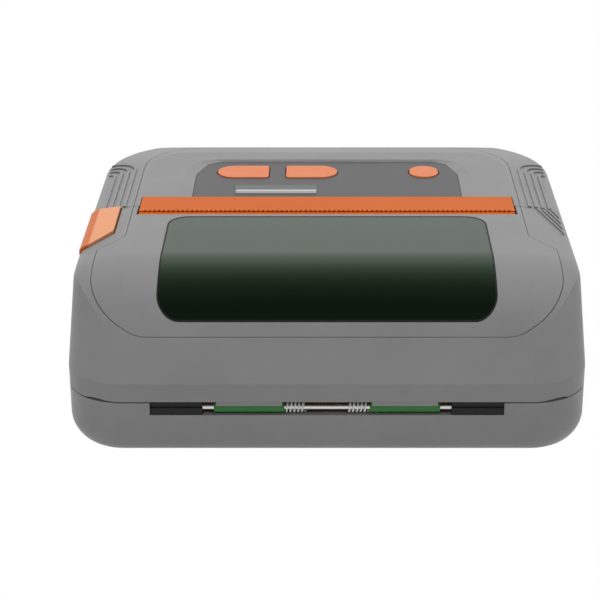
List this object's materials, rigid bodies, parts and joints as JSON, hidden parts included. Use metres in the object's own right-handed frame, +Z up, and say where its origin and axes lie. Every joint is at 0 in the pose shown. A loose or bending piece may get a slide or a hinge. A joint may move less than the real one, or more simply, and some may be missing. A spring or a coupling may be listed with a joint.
{
  "type": "mobile label printer",
  "caption": "Palm-sized mobile label printer with a hinged roll cover, tinted window, serrated tear bar, release lever and control keys.",
  "frame": {"origin": "on the supporting surface under the centre of the body", "axes": "+Z up, the lid's hinge lies at the -Y side, the control keys at the +Y side, the release lever at the -X side"},
  "size_m": [0.148, 0.142, 0.0504],
  "materials": {
    "abs_grey": "moulded satin",
    "abs_dark_grey": "moulded satin",
    "window_tint": "tinted, glossy",
    "orange_plastic": "moulded satin",
    "orange_key": "moulded satin",
    "light_pipe": "frosted clear",
    "black_plastic": "moulded",
    "steel": "ground",
    "spring_white": "coated wire",
    "green_sleeve": "moulded",
    "copper_plate": "plated",
    "rubber_black": "ground",
    "zinc_frame": "plated sheet",
    "aluminium_head": "machined",
    "gear_acetal": "moulded acetal",
    "circuit_board": "coated laminate"
  },
  "bodies": {
    "base": {"lower_housing": "abs_grey", "far_housing": "abs_grey", "control_top": "abs_grey", "control_panel": "abs_dark_grey", "light_bar": "light_pipe", "tear_bar": "orange_plastic", "button_board": "circuit_board", "feet": "rubber_black", "housing_screws": "steel", "battery_cover": "abs_grey", "battery_pack": "black_plastic", "hinge_shaft": "steel", "hinge_end_left": "black_plastic", "hinge_end_right": "black_plastic", "hinge_spring_left": "spring_white", "hinge_spring_right": "spring_white", "hinge_trough": "copper_plate", "main_frame": "zinc_frame", "motor": "zinc_frame", "print_head": "aluminium_head", "head_bracket": "aluminium_head", "head_springs": "steel", "paper_bin": "abs_dark_grey", "paper_sensor": "black_plastic", "main_board": "circuit_board", "data_port": "steel"},
    "lid": {"lid_shell": "abs_grey", "lid_top": "abs_grey", "window_lens": "window_tint", "lever_pin": "steel", "hinge_sleeve_left": "green_sleeve", "hinge_sleeve_right": "green_sleeve", "platen_bush_left": "black_plastic", "platen_bush_right": "black_plastic", "platen_holder": "abs_dark_grey"},
    "platen": {"platen_shaft": "steel", "platen_rubber": "rubber_black", "platen_gear": "gear_acetal"},
    "idler": {"idler_gear": "gear_acetal"},
    "pinion": {"motor_pinion": "gear_acetal"},
    "lever": {"release_lever": "orange_plastic"},
    "latch": {"latch_hooks": "black_plastic"},
    "feed_key": {"feed_button": "orange_key"},
    "pause_key": {"pause_button": "orange_key"},
    "power_key": {"power_button": "orange_key"},
    "holder_left": {"roll_holder_left": "abs_dark_grey"},
    "holder_right": {"roll_holder_right": "abs_dark_grey"},
    "flap": {"port_cover": "rubber_black"}
  },
  "joints": [
    {"name": "lid_hinge", "type": "hinge", "parent": "base", "child": "lid", "pos_m": [0, -0.0692, 0.0166], "axis": [1, 0, 0], "range_deg": [0, 95]},
    {"name": "platen_spin", "type": "hinge", "parent": "lid", "child": "platen", "pos_m": [0, -0.0095, 0.038], "axis": [1, 0, 0], "continuous": true},
    {"name": "idler_spin", "type": "hinge", "parent": "base", "child": "idler", "pos_m": [0, -0.00474, 0.02473], "axis": [1, 0, 0], "continuous": true},
    {"name": "pinion_spin", "type": "hinge", "parent": "base", "child": "pinion", "pos_m": [0, 0.00675, 0.02311], "axis": [1, 0, 0], "continuous": true},
    {"name": "lever_lift", "type": "hinge", "parent": "lid", "child": "lever", "pos_m": [-0.068, -0.02, 0.0464], "axis": [1, 0, 0], "range_deg": [0, 10], "stiffness_Nm_per_rad": 0.05, "springref_deg": -5.73},
    {"name": "latch_turn", "type": "hinge", "parent": "lid", "child": "latch", "pos_m": [0, -0.0195, 0.0395], "axis": [1, 0, 0], "range_deg": [-10, 0]},
    {"name": "feed_press", "type": "slide", "parent": "base", "child": "feed_key", "axis": [0, 0, -1], "range_m": [0, 0.0006], "stiffness_N_per_m": 300, "springref_m": -0.0005},
    {"name": "pause_press", "type": "slide", "parent": "base", "child": "pause_key", "axis": [0, 0, -1], "range_m": [0, 0.0006], "stiffness_N_per_m": 300, "springref_m": -0.0005},
    {"name": "power_press", "type": "slide", "parent": "base", "child": "power_key", "axis": [0, 0, -1], "range_m": [0, 0.0006], "stiffness_N_per_m": 300, "springref_m": -0.0005},
    {"name": "holder_right_slide", "type": "slide", "parent": "base", "child": "holder_right", "axis": [-1, 0, 0], "range_m": [0, 0.022]},
    {"name": "holder_left_slide", "type": "slide", "parent": "base", "child": "holder_left", "axis": [1, 0, 0], "range_m": [0, 0.022]},
    {"name": "port_cover_hinge", "type": "hinge", "parent": "base", "child": "flap", "pos_m": [0.0733, 0.036, 0.0112], "axis": [0, 1, 0], "range_deg": [0, 85], "stiffness_Nm_per_rad": 0.001, "springref_deg": -5.73}
  ],
  "couplings": [
    {"joint": "idler_spin", "follows": "platen_spin", "ratio": -0.75},
    {"joint": "pinion_spin", "follows": "platen_spin", "ratio": 1.7143},
    {"joint": "latch_turn", "follows": "lever_lift", "ratio": -1},
    {"joint": "holder_left_slide", "follows": "holder_right_slide", "ratio": 1}
  ]
}
